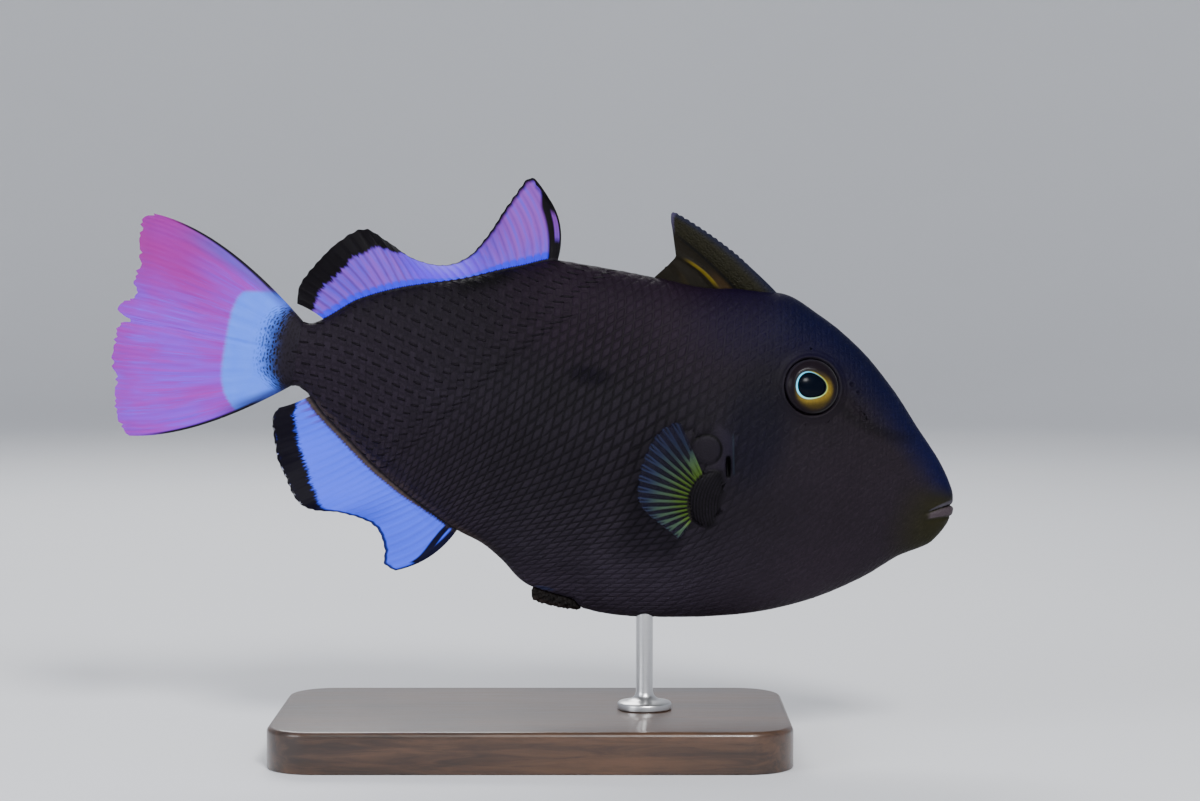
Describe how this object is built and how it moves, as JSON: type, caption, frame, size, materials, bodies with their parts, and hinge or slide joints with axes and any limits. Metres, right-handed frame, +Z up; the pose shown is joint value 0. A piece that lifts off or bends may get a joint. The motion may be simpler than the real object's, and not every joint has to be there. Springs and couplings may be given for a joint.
{
  "type": "pinktail triggerfish model on a display stand",
  "caption": "Life-size still model of a pinktail triggerfish in a swimming pose, nose slightly down, fins spread, held over a flat base by an upright rod.",
  "frame": {"origin": "on the surface the stand rests on, under the centre of the whole model's box", "axes": "+Z up, +X the way the fish faces, +Y to the fish's left; the picture looks along +Y at its right side"},
  "size_m": [0.2472, 0.084, 0.1687],
  "materials": {
    "dark_skin": "near-black brown scaled skin, satin",
    "stalk_skin": "near-black scaled skin at the tail",
    "pink_tail": "pink rays with a pale blue-white base",
    "pale_fins": "pale lavender membrane with dark margins",
    "pectoral_rays": "olive-yellow rays on a dark membrane",
    "spine_skin": "dark olive-brown, rough",
    "eye": "dark pupil, pale ring, gold-brown iris",
    "base_wood": "dark stained, satin",
    "rod_metal": "turned and brushed"
  },
  "bodies": {
    "root": {"head": "dark_skin", "torso": "dark_skin", "tail_stalk": "stalk_skin", "tail_fin": "pink_tail", "spiny_dorsal_fin": "spine_skin", "soft_dorsal_fin": "pale_fins", "anal_fin": "pale_fins", "pectoral_fin_right": "pectoral_rays", "pectoral_fin_left": "pectoral_rays", "pelvic_spine": "spine_skin", "eye_right": "eye", "eye_left": "eye", "stand_base": "base_wood", "stand_rod": "rod_metal"}
  },
  "joints": []
}
